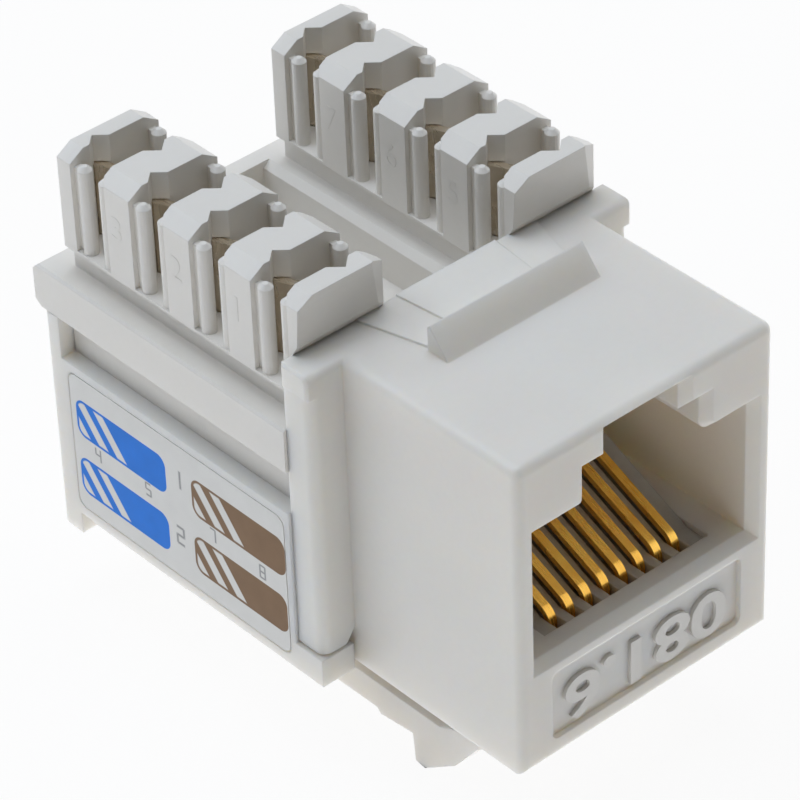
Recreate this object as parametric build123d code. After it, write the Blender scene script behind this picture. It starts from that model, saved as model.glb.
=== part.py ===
from build123d import *
import math
import os

# Keystone jack. X runs across, +Y towards the rear, +Z up; millimetres.
# The origin lies on the front face, at the middle of its lower edge.

# Allowance by which cutters run past the faces they open, and the broken edges of small forms.
PAST = 1.0
EDGE_BREAK = 0.12

# Front housing: a square sleeve.
HOUSING_W = 14.5
HOUSING_H = 16.1
HOUSING_D = 12.1
HOUSING_EDGE_R = 0.45
FRONT_WALL_T = 1.25
REAR_WALL_T = 0.8
HOUSING_FLOOR_T = 1.2
BACK_Y = HOUSING_D - REAR_WALL_T

# Stepped socket, set out from the housing's side and roof: plug body, tab and key.
SOCKET_WALL_T = 1.15
SOCKET_ROOF_T = 0.68
KEY_HALF_W = 2.1
KEY_H = 1.32
TAB_HALF_W = 3.3
TAB_H = 1.83
TAB_CORNER_R = 0.6
SOCKET_H = 6.77
LEAD_IN = 0.45
LEAD_IN_DEG = 45
SOCKET_HALF_W = HOUSING_W / 2 - SOCKET_WALL_T
KEY_TOP_Z = HOUSING_H - SOCKET_ROOF_T
TAB_TOP_Z = KEY_TOP_Z - KEY_H
SOCKET_TOP_Z = TAB_TOP_Z - TAB_H
SOCKET_FLOOR_Z = SOCKET_TOP_Z - SOCKET_H

# Sunk field on the front, under the socket.
PANEL_SIDE = 1.75
PANEL_Z0 = 1.0
PANEL_DROP = 0.9
PANEL_DEPTH = 0.25
PANEL_CORNER_R = 0.35

# Flange: two side posts under two caps, as wide as the body behind.
BODY_HALF_W = 9.2
FLANGE_T = 1.65
CAP_H = 1.25
CAP_EDGE_R = 0.35
POST_INSET = 0.15
POST_Z0 = 1.2
POST_RELIEF_W = 0.5
POST_RELIEF_H = 0.7
POST_EDGE_R = 0.5
FLANGE_Y0 = HOUSING_D - FLANGE_T
CAP_Z0 = HOUSING_H - CAP_H

# Fixed catch and the raised pads behind it; the panel goes between catch and flange.
PANEL_ROOM = 1.98
CATCH_HALF_W = 4.3
CATCH_D = 1.22
CATCH_H = 1.3
PAD_FRONT_HALF_W = 4.1
PAD_REAR_HALF_W = 5.1
PAD_H = 0.1
STRIP_FRONT_HALF_W = 2.4
STRIP_REAR_HALF_W = 2.8
CATCH_Y1 = FLANGE_Y0 - PANEL_ROOM
CATCH_Y0 = CATCH_Y1 - CATCH_D

# Sprung latch under the front, turning about a line in the housing's underside.
LATCH_INSET = 1.15
PIVOT_Y = 2.7
ROOT_R = 0.65
ROOT_CLEARANCE = 0.05
ROOT_END_GAP = 0.1
ROOT_NECK_Z = -0.3
ELBOW_RUN = 1.42
ELBOW_Z = -1.8
NECK_RUN = 0.78
NECK_Z = -1.25
RAMP_RUN = 1.98
RAMP_Z = -3.66
HOOK_Z = -5.07
HOOK_TIP_L = 0.58
HOOK_REAR_Z = -4.98
HOOK_REAR_DRAFT = 0.13
HOOK_ROOM = 2.18
HOOK_TOP_RUN = 1.06
TAIL_Z = -3.5
GRIP_RUN = 2.09
GRIP_Z = -3.72
GRIP_STEP = 0.25
TAIL_REACH = 1.4
TAIL_TOP_Z = -2.0
TAIL_END_R = 0.45
LATCH_HALF_W = HOUSING_W / 2 - LATCH_INSET
HOOK_FOOT_Y = FLANGE_Y0 - HOOK_ROOM
HOOK_REAR_Y = HOOK_FOOT_Y - HOOK_REAR_DRAFT
HOOK_Y = HOOK_REAR_Y - HOOK_TIP_L
ELBOW_Y = PIVOT_Y + ELBOW_RUN
GRIP_Y = HOOK_FOOT_Y + GRIP_RUN
TAIL_END_Y = HOUSING_D + TAIL_REACH

# Comb insert that carries the contacts, and the eight flat spring wires in it.
CONTACT_COUNT = 8
CONTACT_PITCH = 1.02
CONTACT_W = 0.4
CONTACT_T = 0.3
CONTACT_SLOPE_DEG = 24.3
CONTACT_BEND_R = 0.7
NOSE_BACK = 0.85
NOSE_DROP = 0.06
LEG_DROP = 1.9
TIP_COVER = 0.7
TAIL_BEND_R = 0.5
TAIL_NEAR_BACK = 2.1
TAIL_STAGGER = 2.0
TAIL_PROUD = 0.6
COMB_T = 2.1
COMB_RISE = 0.64
COMB_SLOT_W = 0.56
COMB_SLOT_D = 1.2
COMB_END_WALL = 0.85
CARRIER_GAP = 0.05
DECK_DROP = 0.3
DECK_FRONT_BACK = 1.15
LEG_CHANNEL_H = 0.6
NOSE_Y = FRONT_WALL_T + NOSE_BACK
NOSE_Z = SOCKET_FLOOR_Z - NOSE_DROP
LEG_Z = SOCKET_FLOOR_Z - LEG_DROP
COMB_Y0 = BACK_Y - COMB_T
TIP_Y = COMB_Y0 + TIP_COVER
TONGUE_TOP_Z = LEG_Z + LEG_CHANNEL_H
CARRIER_HALF_W = (CONTACT_COUNT - 1) / 2 * CONTACT_PITCH + COMB_SLOT_W / 2 + COMB_END_WALL

# Levels of the body behind, from the casing's underside up to the tower tops.
CASE_Z0 = -0.35
CASE_H = 8.5
SKIRT_H = 2.2
RIM_H = 2.22
PLINTH_H = 1.28
SLOT_SILL_H = 0.15
TOWER_RISE = 2.89
CASE_TOP_Z = CASE_Z0 + CASE_H
RIM_Z0 = CASE_TOP_Z + SKIRT_H
RIM_Z1 = RIM_Z0 + RIM_H
PLINTH_TOP_Z = RIM_Z1 + PLINTH_H
SLOT_FLOOR_Z = PLINTH_TOP_Z + SLOT_SILL_H
TOWER_TOP_Z = HOUSING_H + TOWER_RISE

# Tower rows: one row is a shifted copy of the other.
ROW_OUTER_INSET = 0.74
TOWER_W = 4.89
TOWER_END_DROP = 0.5
TOWER_END_BEVEL = 0.79
TOWER_PITCH = 3.95
TOWER_BODY_D = 2.0
TOWER_COUNT = 3
TOWER_CORNER = 0.35
FIRST_TOWER_BACK = 0.58
LAST_TOWER_D = 0.88
PLINTH_INSET = 0.45
REAR_NOTCH_X = 3.06
REAR_NOTCH_HALF_W = 0.6
REAR_NOTCH_D = 0.55
FRONT_NOTCH_X = 1.66
FRONT_NOTCH_HALF_W = 0.55
FRONT_NOTCH_D = 0.5
HALF_TOWER_REACH = 0.5
HALF_TOWER_LEAN = 0.2
HALF_TOWER_UNDERCUT = 0.5
HALF_TOWER_CUT_W = 0.88
HALF_TOWER_CUT_D = 0.4
ROW_INNER_X = BODY_HALF_W - ROW_OUTER_INSET - TOWER_W
TOWER_ZERO_Y = HOUSING_D + FIRST_TOWER_BACK
LAST_TOWER_Y0 = TOWER_ZERO_Y + (TOWER_COUNT + 1) * TOWER_PITCH - TOWER_BODY_D
LAST_TOWER_Y1 = LAST_TOWER_Y0 + LAST_TOWER_D

# Guide ribs in front of both ends of a tower and on its rear corners.
RIB_R = 0.34
RIB_SIDES = 16
RIB_X = 0.41
RIB_FORWARD = 0.5
RIB_DROP = 0.5
RIB_TOP_BEVEL = 0.2
RIB_WEB_W = 0.35

# Rim, skirt and trough of the terminal block.
REAR_MARGIN = 1.54
RIM_EDGE = 0.3
REAR_OVERHANG = 0.4
SKIRT_INSET = 0.8
TROUGH_SIDE = 0.57
TROUGH_BEVEL = 0.35
TROUGH_FRONT = 0.8
TROUGH_REAR = 1.2
TROUGH_D = 2.27
RIM_REAR_Y = LAST_TOWER_Y1 + REAR_MARGIN
CASE_REAR_Y = RIM_REAR_Y - REAR_OVERHANG
TROUGH_HALF_W = ROW_INNER_X - TROUGH_SIDE

# Lower casing: a tray with toes, sole, feet and rear posts.
CASE_WALL = 1.2
CASE_FLOOR_T = 1.2
CASE_CORNER_R = 0.5
LEDGE_W = 0.6
TOE_L = 1.7
TOE_SIDE_GAP = 0.15
TOE_TOP_GAP = 0.12
SOLE_START = 7.3
SOLE_RAMP = 0.9
SOLE_H = 0.75
FOOT_H = 1.15
FOOT_L = 1.5
FOOT_W = 2.4
CORNER_POST_L = 1.1

# Board on the casing's ledges.
BOARD_T = 1.2
BOARD_SIDE_GAP = 0.3
BOARD_END_GAP = 0.4
BOARD_DROP = 0.75
BOARD_HOLE_GAP = 0.1
BOARD_Z0 = CASE_TOP_Z - BOARD_DROP - BOARD_T

# Forked blades: each runs slantwise from a tower's front notch to the next tower's rear notch.
BLADE_HALF_L = 1.65
BLADE_SHIFT = 0.25
BLADE_T = 0.4
BLADE_GAP = 0.05
BLADE_TOP_DROP = 1.39
BLADE_STAND = 0.35
BLADE_TAIL_W = 0.9
BLADE_TAIL_PROUD = 0.5
FORK_W = 0.3
FORK_FLOOR_H = 0.3
FORK_MOUTH_W = 0.8
FORK_MOUTH_H = 0.9
BLADE_TOP_Z = TOWER_TOP_Z - BLADE_TOP_DROP
BLADE_FOOT_Z = BOARD_Z0 + BOARD_T + BLADE_STAND
FORK_FLOOR_Z = SLOT_FLOOR_Z + FORK_FLOOR_H

# Side labels, set in shallow recesses of the casing.
LABEL_T = 0.1
LABEL_FRONT = 0.4
LABEL_REAR = 1.5
LABEL_FOOT = 0.55
LABEL_HEAD = 0.5
LABEL_CORNER_R = 0.5
LABEL_GAP = 0.06


def block(x0, x1, y0, y1, z0, z1):
    """Box between two opposite corners."""
    size = Box(x1 - x0, y1 - y0, z1 - z0, align=(Align.MIN, Align.MIN, Align.MIN))
    return Pos(x0, y0, z0) * size


def side_prism(points, x0, x1):
    """Solid with a (y, z) outline, running along X."""
    plane = Plane(origin=(x0, 0, 0), x_dir=(0, 1, 0), z_dir=(1, 0, 0))
    face = plane * Polygon(*points, align=None)
    return extrude(face, amount=x1 - x0, dir=(1, 0, 0))


def front_prism(face, y0, y1):
    """Solid from an (x, z) face, running along Y."""
    plane = Plane(origin=(0, y1, 0), x_dir=(1, 0, 0), z_dir=(0, -1, 0))
    return extrude(plane * face, amount=y1 - y0, dir=(0, -1, 0))


def plan_prism(points, z0, z1):
    """Solid with an (x, y) outline, standing along Z."""
    face = Pos(0, 0, z0) * Polygon(*points, align=None)
    return extrude(face, amount=z1 - z0, dir=(0, 0, 1))


def mirrored(points):
    """Outline completed by its mirror image across x = 0."""
    return points + [(-x, z) for x, z in reversed(points)]


def socket_face():
    """Stepped outline of the plug opening; the tab's lower corners are rounded."""
    half = [
        (SOCKET_HALF_W, SOCKET_FLOOR_Z),
        (SOCKET_HALF_W, SOCKET_TOP_Z),
        (TAB_HALF_W, SOCKET_TOP_Z),
        (TAB_HALF_W, TAB_TOP_Z),
        (KEY_HALF_W, TAB_TOP_Z),
        (KEY_HALF_W, KEY_TOP_Z),
    ]
    face = Polygon(*mirrored(half), align=None)
    corners = []
    for vertex in face.vertices():
        on_side = math.isclose(abs(vertex.X), TAB_HALF_W, abs_tol=EDGE_BREAK)
        on_step = math.isclose(vertex.Y, SOCKET_TOP_Z, abs_tol=EDGE_BREAK)
        if on_side and on_step:
            corners.append(vertex)
    return fillet(corners, TAB_CORNER_R)


def socket_flare():
    """Cutter for the lead-in that widens the socket towards the front face."""
    plane = Plane(origin=(0, LEAD_IN, 0), x_dir=(1, 0, 0), z_dir=(0, -1, 0))
    return extrude(plane * socket_face(), amount=LEAD_IN, taper=-LEAD_IN_DEG)


def deck_z(y):
    """Height of the line along the middle of the sloping contact legs."""
    return NOSE_Z + math.tan(math.radians(CONTACT_SLOPE_DEG)) * (y - NOSE_Y)


def contact_x(index):
    """Centre line of a contact."""
    return (index - (CONTACT_COUNT - 1) / 2) * CONTACT_PITCH


def tail_y(index):
    """Contact tails stand in two staggered rows."""
    near = HOUSING_D + TAIL_NEAR_BACK
    return near if index % 2 == 0 else near + TAIL_STAGGER


def flange_side():
    """One side of the flange, on the +X side: a post under a cap."""
    half = HOUSING_W / 2
    inner = half - HOUSING_EDGE_R
    post_half = BODY_HALF_W - POST_INSET
    post_face = Polygon(
        (inner, POST_Z0 + POST_RELIEF_H),
        (half, POST_Z0 + POST_RELIEF_H),
        (half + POST_RELIEF_W, POST_Z0),
        (post_half, POST_Z0),
        (post_half, CAP_Z0),
        (inner, CAP_Z0),
        align=None,
    )
    post = front_prism(post_face, FLANGE_Y0, HOUSING_D)
    outer = post.edges().filter_by(Axis.Z).sort_by(Axis.X)[-2:]
    front_edge = outer.sort_by(Axis.Y)[0]
    post = fillet(front_edge, POST_EDGE_R)
    cap = block(inner, BODY_HALF_W, FLANGE_Y0, HOUSING_D, CAP_Z0, HOUSING_H)
    top_edges = cap.faces().sort_by(Axis.Z)[-1].edges().filter_by(Axis.X)
    cap = fillet(top_edges.sort_by(Axis.Y)[0], CAP_EDGE_R)
    cap = chamfer(cap.faces().sort_by(Axis.X)[-1].edges(), EDGE_BREAK)
    return post + cap


def front_housing():
    """Sleeve with socket, flange, catch and the groove for the latch root."""
    half = HOUSING_W / 2
    body = block(-half, half, 0, HOUSING_D, 0, HOUSING_H)
    body = fillet(body.edges().filter_by(Axis.Y).sort_by(Axis.Z)[-2:], HOUSING_EDGE_R)
    body = fillet(body.faces().sort_by(Axis.Y)[0].edges(), HOUSING_EDGE_R)
    body -= front_prism(socket_face(), -PAST, BACK_Y)
    body -= socket_flare()

    pocket_half = CARRIER_HALF_W + CARRIER_GAP
    body -= block(-pocket_half, pocket_half, FRONT_WALL_T, BACK_Y, HOUSING_FLOOR_T, SOCKET_FLOOR_Z + PAST)
    tongue_top = TONGUE_TOP_Z + CARRIER_GAP
    body -= block(-pocket_half, pocket_half, BACK_Y - PAST, HOUSING_D + PAST, HOUSING_FLOOR_T, tongue_top)

    panel_half = half - PANEL_SIDE
    panel = block(-panel_half, panel_half, -PAST, PANEL_DEPTH, PANEL_Z0, SOCKET_FLOOR_Z - PANEL_DROP)
    body -= fillet(panel.edges().filter_by(Axis.Y), PANEL_CORNER_R)

    side = flange_side()
    body += side
    body += mirror(side, Plane.YZ)

    catch_root = HOUSING_H - EDGE_BREAK
    catch_top = HOUSING_H + CATCH_H
    catch = [(CATCH_Y0, catch_root), (CATCH_Y0, HOUSING_H)]
    catch += [(CATCH_Y1 - EDGE_BREAK, catch_top), (CATCH_Y1, catch_top - EDGE_BREAK)]
    catch += [(CATCH_Y1, catch_root)]
    body += side_prism(catch, -CATCH_HALF_W, CATCH_HALF_W)

    pad_y = CATCH_Y1 - EDGE_BREAK
    steps = ((PAD_FRONT_HALF_W, PAD_REAR_HALF_W), (STRIP_FRONT_HALF_W, STRIP_REAR_HALF_W))
    for level, (front, rear) in enumerate(steps, start=1):
        outline = [(front, pad_y), (rear, HOUSING_D), (-rear, HOUSING_D), (-front, pad_y)]
        body += plan_prism(outline, catch_root, HOUSING_H + level * PAD_H)

    groove_l = 2 * (LATCH_HALF_W + ROOT_END_GAP)
    body -= Pos(0, PIVOT_Y, 0) * Rot(0, 90, 0) * Cylinder(ROOT_R + ROOT_CLEARANCE, groove_l)
    return body


def latch_arm():
    """Bent spring arm with a half-round root, a hook and a finger tail."""
    root = Pos(0, PIVOT_Y, 0) * Rot(0, 90, 0) * Cylinder(ROOT_R, 2 * LATCH_HALF_W)
    outline = [
        (PIVOT_Y - ROOT_R, 0),
        (PIVOT_Y - ROOT_R, ROOT_NECK_Z),
        (ELBOW_Y, ELBOW_Z),
        (HOOK_Y - RAMP_RUN, RAMP_Z),
        (HOOK_Y, HOOK_Z),
        (HOOK_REAR_Y, HOOK_REAR_Z),
        (HOOK_FOOT_Y, TAIL_Z),
        (GRIP_Y, GRIP_Z),
        (GRIP_Y + GRIP_STEP, GRIP_Z + GRIP_STEP),
        (TAIL_END_Y, TAIL_Z),
        (TAIL_END_Y, TAIL_TOP_Z),
        (HOOK_Y - HOOK_TOP_RUN, TAIL_TOP_Z),
        (ELBOW_Y + NECK_RUN, NECK_Z),
        (PIVOT_Y + ROOT_R, ROOT_NECK_Z),
        (PIVOT_Y + ROOT_R, 0),
    ]
    arm = side_prism(outline, -LATCH_HALF_W, LATCH_HALF_W)
    tip = arm.edges().filter_by(Axis.X).sort_by(Axis.Y)[-2:]
    arm = fillet(tip, TAIL_END_R)
    return arm + root


def contact(index):
    """One flat spring wire, from its tip in the comb to its tail in the board."""
    back = tail_y(index)
    top = BOARD_Z0 + BOARD_T + TAIL_PROUD
    start = (back - TAIL_BEND_R, LEG_Z)
    end = (back, LEG_Z + TAIL_BEND_R)
    points = [(TIP_Y, deck_z(TIP_Y)), (NOSE_Y, NOSE_Z), (NOSE_Y, LEG_Z), start]
    front_part = Plane.YZ * FilletPolyline(*points, radius=CONTACT_BEND_R)
    bend = Plane.YZ * RadiusArc(start, end, -TAIL_BEND_R)
    pin = Plane.YZ * Line(end, (back, top))
    path = Wire(front_part.edges() + bend.edges() + pin.edges())
    section_plane = Plane(origin=path @ 0, x_dir=(1, 0, 0), z_dir=path % 0)
    wire = sweep(section_plane * Rectangle(CONTACT_W, CONTACT_T), path=path)
    return Pos(contact_x(index), 0, 0) * wire


def contact_carrier():
    """Comb insert: fins between the contacts, a rear comb wall and a tongue to the rear."""
    deck_front_y = FRONT_WALL_T + DECK_FRONT_BACK
    deck_front_z = deck_z(deck_front_y) - DECK_DROP
    comb_top = deck_z(TIP_Y) + COMB_RISE
    outline = [
        (FRONT_WALL_T, HOUSING_FLOOR_T),
        (HOUSING_D, HOUSING_FLOOR_T),
        (HOUSING_D, TONGUE_TOP_Z),
        (BACK_Y, TONGUE_TOP_Z),
        (BACK_Y, comb_top),
        (COMB_Y0, comb_top),
        (COMB_Y0, deck_z(COMB_Y0) - DECK_DROP),
        (deck_front_y, deck_front_z),
        (FRONT_WALL_T, deck_front_z),
    ]
    body = side_prism(outline, -CARRIER_HALF_W, CARRIER_HALF_W)
    slot_floor = LEG_Z - CONTACT_T / 2
    slot_end = COMB_Y0 + COMB_SLOT_D
    for index in range(CONTACT_COUNT):
        x0 = contact_x(index) - COMB_SLOT_W / 2
        x1 = x0 + COMB_SLOT_W
        body -= block(x0, x1, FRONT_WALL_T - PAST, slot_end, slot_floor, comb_top + PAST)
        body -= block(x0, x1, slot_end - PAST, HOUSING_D + PAST, slot_floor, TONGUE_TOP_Z - CARRIER_GAP)
    return body


def row_origins():
    """Left-hand X of each tower row."""
    return (-ROW_INNER_X - TOWER_W, ROW_INNER_X)


def tower_rear(index):
    """Rear face of a tower; the last one is cut short before the rear rim."""
    return TOWER_ZERO_Y + index * TOWER_PITCH


def wire_slot_y(rear_y):
    """Middle of the wire slot in front of a tower, between its ribs and those of the tower before."""
    return rear_y - (TOWER_BODY_D + RIB_FORWARD + TOWER_PITCH) / 2


def blade_turn():
    """Angle of a blade's long side from +X, in degrees."""
    run = REAR_NOTCH_X - FRONT_NOTCH_X
    reach = FRONT_NOTCH_D + REAR_NOTCH_D + TOWER_PITCH - TOWER_BODY_D
    return math.degrees(math.atan2(-reach, run))


def blade_middle(rear_y):
    """Middle of the blade in front of the tower whose rear face is at rear_y, in row coordinates."""
    front_notch_y = rear_y - TOWER_BODY_D + FRONT_NOTCH_D
    rear_notch_y = rear_y - TOWER_PITCH - REAR_NOTCH_D
    turn = math.radians(blade_turn())
    x = (FRONT_NOTCH_X + REAR_NOTCH_X) / 2 - BLADE_SHIFT * math.cos(turn)
    y = (front_notch_y + rear_notch_y) / 2 - BLADE_SHIFT * math.sin(turn)
    return x, y


def fork_offset(rear_y):
    """How far along the blade the fork lies, so that it opens on the wire slot."""
    middle_y = blade_middle(rear_y)[1]
    return (wire_slot_y(rear_y) - middle_y) / math.sin(math.radians(blade_turn()))


def blade_place(row_x, rear_y):
    """Placing of a blade whose long side lies along its own X."""
    x, y = blade_middle(rear_y)
    return Pos(row_x + x, y, 0) * Rot(0, 0, blade_turn())


def blade_slot(row_x, index, top_z):
    """Cutter for the slot that a blade stands in, open below the skirt."""
    length = 2 * (BLADE_HALF_L + BLADE_GAP)
    thickness = BLADE_T + 2 * BLADE_GAP
    base_z = CASE_TOP_Z - PAST
    cutter = Box(length, thickness, top_z - base_z, align=(Align.CENTER, Align.CENTER, Align.MIN))
    return blade_place(row_x, tower_rear(index)) * Pos(0, 0, base_z) * cutter


def notched_side(y, depth, x, half_w):
    """Points of a straight side at y, from left to right, with a V notch cut towards y + depth."""
    return [(x - half_w, y), (x, y + depth), (x + half_w, y)]


def full_tower_plan(front_y, rear_y):
    """Plan of a whole tower: notched on both long sides, with cut rear corners."""
    points = [(0, front_y), (0, rear_y - TOWER_CORNER), (TOWER_CORNER, rear_y)]
    points += notched_side(rear_y, -REAR_NOTCH_D, REAR_NOTCH_X, REAR_NOTCH_HALF_W)
    points += [(TOWER_W - TOWER_CORNER, rear_y), (TOWER_W, rear_y - TOWER_CORNER), (TOWER_W, front_y)]
    points += reversed(notched_side(front_y, FRONT_NOTCH_D, FRONT_NOTCH_X, FRONT_NOTCH_HALF_W))
    return points


def half_tower_plan(front_y, rear_y):
    """Plan of the first tower: notched behind, with its inner front corner cut away."""
    points = [(0, front_y), (0, rear_y - TOWER_CORNER), (TOWER_CORNER, rear_y)]
    points += notched_side(rear_y, -REAR_NOTCH_D, REAR_NOTCH_X, REAR_NOTCH_HALF_W)
    points += [(TOWER_W - TOWER_CORNER, rear_y), (TOWER_W, rear_y - TOWER_CORNER)]
    points += [(TOWER_W, front_y + HALF_TOWER_CUT_D), (TOWER_W - HALF_TOWER_CUT_W, front_y)]
    return points


def last_tower_plan(front_y, rear_y):
    """Plan of the last tower: notched in front and cut short behind."""
    points = [(0, front_y), (0, rear_y), (TOWER_W, rear_y), (TOWER_W, front_y)]
    points += reversed(notched_side(front_y, FRONT_NOTCH_D, FRONT_NOTCH_X, FRONT_NOTCH_HALF_W))
    return points


def end_bevels(y0, y1):
    """Envelope that slopes down the top at both ends of a tower."""
    end_z = TOWER_TOP_Z - TOWER_END_DROP
    face = Polygon(
        (0, PLINTH_TOP_Z),
        (TOWER_W, PLINTH_TOP_Z),
        (TOWER_W, end_z),
        (TOWER_W - TOWER_END_BEVEL, TOWER_TOP_Z),
        (TOWER_END_BEVEL, TOWER_TOP_Z),
        (0, end_z),
        align=None,
    )
    return front_prism(face, y0, y1)


def guide_post(x, y):
    """Many-sided guide rib with a bevelled top."""
    rib_h = TOWER_TOP_Z - RIB_DROP - PLINTH_TOP_Z
    post = Pos(x, y, PLINTH_TOP_Z) * extrude(RegularPolygon(RIB_R, RIB_SIDES), rib_h)
    return chamfer(post.faces().sort_by(Axis.Z)[-1].edges(), RIB_TOP_BEVEL)


def front_rib(x, rear_y):
    """Guide rib before a tower's front side, joined to it by a narrow web."""
    face_y = rear_y - TOWER_BODY_D
    post_y = face_y - RIB_FORWARD
    web_half = RIB_WEB_W / 2
    web_top_z = TOWER_TOP_Z - RIB_DROP - RIB_TOP_BEVEL
    web = block(x - web_half, x + web_half, post_y, face_y + TOWER_CORNER, PLINTH_TOP_Z, web_top_z)
    return guide_post(x, post_y) + web


def rear_ribs(rear_y):
    """Guide ribs on both rear corners of a tower."""
    return guide_post(RIB_X, rear_y) + guide_post(TOWER_W - RIB_X, rear_y)


def half_tower():
    """First tower of a row: it stands over the housing's rear edge, upright and then undercut."""
    front_y = HOUSING_D - HALF_TOWER_REACH
    body = plan_prism(half_tower_plan(front_y, TOWER_ZERO_Y), PLINTH_TOP_Z, TOWER_TOP_Z)
    side = [
        (front_y, TOWER_TOP_Z),
        (front_y + HALF_TOWER_LEAN, HOUSING_H + HALF_TOWER_UNDERCUT),
        (HOUSING_D, HOUSING_H),
        (HOUSING_D, PLINTH_TOP_Z),
        (TOWER_ZERO_Y, PLINTH_TOP_Z),
        (TOWER_ZERO_Y, TOWER_TOP_Z),
    ]
    return body & side_prism(side, 0, TOWER_W) & end_bevels(front_y, TOWER_ZERO_Y)


def ribbed_tower(front_y, rear_y, plan):
    """Tower with guide ribs in front of both its ends."""
    body = plan_prism(plan, PLINTH_TOP_Z, TOWER_TOP_Z) & end_bevels(front_y, rear_y)
    full_rear = front_y + TOWER_BODY_D
    return body + front_rib(RIB_X, full_rear) + front_rib(TOWER_W - RIB_X, full_rear)


def tower_row():
    """Plinth, slot floor and towers of one row, in row coordinates."""
    plinth_x = (PLINTH_INSET, TOWER_W - PLINTH_INSET)
    row = block(*plinth_x, HOUSING_D, LAST_TOWER_Y1, RIM_Z1 - EDGE_BREAK, PLINTH_TOP_Z)
    row += block(0, TOWER_W, HOUSING_D, LAST_TOWER_Y1, PLINTH_TOP_Z, SLOT_FLOOR_Z)
    row += half_tower()
    for index in range(1, TOWER_COUNT + 1):
        rear_y = tower_rear(index)
        front_y = rear_y - TOWER_BODY_D
        row += ribbed_tower(front_y, rear_y, full_tower_plan(front_y, rear_y))
    row += ribbed_tower(LAST_TOWER_Y0, LAST_TOWER_Y1, last_tower_plan(LAST_TOWER_Y0, LAST_TOWER_Y1))
    for index in range(TOWER_COUNT + 1):
        row += rear_ribs(tower_rear(index))
    for index in range(1, TOWER_COUNT + 2):
        row -= blade_slot(0, index, BLADE_TOP_Z + BLADE_GAP)
    return row


def trough():
    """Cutter for the cable trough between the rows, with bevelled upper edges."""
    floor_z = RIM_Z1 - TROUGH_D
    half = [
        (TROUGH_HALF_W, floor_z),
        (TROUGH_HALF_W, RIM_Z1 - TROUGH_BEVEL),
        (TROUGH_HALF_W + TROUGH_BEVEL, RIM_Z1),
        (TROUGH_HALF_W + TROUGH_BEVEL, RIM_Z1 + PAST),
    ]
    face = Polygon(*mirrored(half), align=None)
    return front_prism(face, HOUSING_D + TROUGH_FRONT, RIM_REAR_Y - TROUGH_REAR)


def idc_block():
    """Rim and skirt round a trough, with two rows of towers."""
    outline = [
        (HOUSING_D, RIM_Z0),
        (HOUSING_D, RIM_Z1),
        (RIM_REAR_Y - RIM_EDGE, RIM_Z1),
        (RIM_REAR_Y, RIM_Z1 - RIM_EDGE),
        (RIM_REAR_Y, RIM_Z0 + RIM_EDGE),
        (CASE_REAR_Y, RIM_Z0),
    ]
    rim = side_prism(outline, -BODY_HALF_W, BODY_HALF_W)
    rim = chamfer(rim.faces().sort_by(Axis.Z)[-1].edges().filter_by(Axis.Y), EDGE_BREAK)
    skirt_half = BODY_HALF_W - SKIRT_INSET
    skirt = block(-skirt_half, skirt_half, HOUSING_D, CASE_REAR_Y - SKIRT_INSET, CASE_TOP_Z, RIM_Z0)
    body = rim + skirt - trough()
    row = tower_row()
    for x in row_origins():
        body += Pos(x, 0, 0) * row
        for index in range(1, TOWER_COUNT + 2):
            body -= blade_slot(x, index, PLINTH_TOP_Z)
    return body


def idc_terminal(row_x, index):
    """Forked blade with a narrower tail that passes through the board."""
    rear_y = tower_rear(index)
    fork_x = fork_offset(rear_y)
    tail_half = BLADE_TAIL_W / 2
    tail_z = BOARD_Z0 - BLADE_TAIL_PROUD
    throat_z = BLADE_TOP_Z - FORK_MOUTH_H
    outline = [
        (-BLADE_HALF_L, BLADE_FOOT_Z),
        (-tail_half, BLADE_FOOT_Z),
        (-tail_half, tail_z),
        (tail_half, tail_z),
        (tail_half, BLADE_FOOT_Z),
        (BLADE_HALF_L, BLADE_FOOT_Z),
        (BLADE_HALF_L, BLADE_TOP_Z),
        (fork_x + FORK_MOUTH_W / 2, BLADE_TOP_Z),
        (fork_x + FORK_W / 2, throat_z),
        (fork_x + FORK_W / 2, FORK_FLOOR_Z),
        (fork_x - FORK_W / 2, FORK_FLOOR_Z),
        (fork_x - FORK_W / 2, throat_z),
        (fork_x - FORK_MOUTH_W / 2, BLADE_TOP_Z),
        (-BLADE_HALF_L, BLADE_TOP_Z),
    ]
    blade = front_prism(Polygon(*outline, align=None), -BLADE_T / 2, BLADE_T / 2)
    return blade_place(row_x, rear_y) * blade


def circuit_board():
    """Board on the casing's ledges, with holes for contact tails and blade tails."""
    half = BODY_HALF_W - CASE_WALL - BOARD_SIDE_GAP
    front_y = HOUSING_D + BOARD_END_GAP
    rear_y = CASE_REAR_Y - CASE_WALL - BOARD_END_GAP
    board = block(-half, half, front_y, rear_y, BOARD_Z0, BOARD_Z0 + BOARD_T)
    middle_z = BOARD_Z0 + BOARD_T / 2
    depth = BOARD_T + PAST
    for index in range(CONTACT_COUNT):
        hole = Box(CONTACT_W + 2 * BOARD_HOLE_GAP, CONTACT_T + 2 * BOARD_HOLE_GAP, depth)
        board -= Pos(contact_x(index), tail_y(index), middle_z) * hole
    for row_x in row_origins():
        for index in range(1, TOWER_COUNT + 2):
            hole = Box(BLADE_TAIL_W + 2 * BOARD_HOLE_GAP, BLADE_T + 2 * BOARD_HOLE_GAP, depth)
            board -= blade_place(row_x, tower_rear(index)) * Pos(0, 0, middle_z) * hole
    return board


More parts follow.
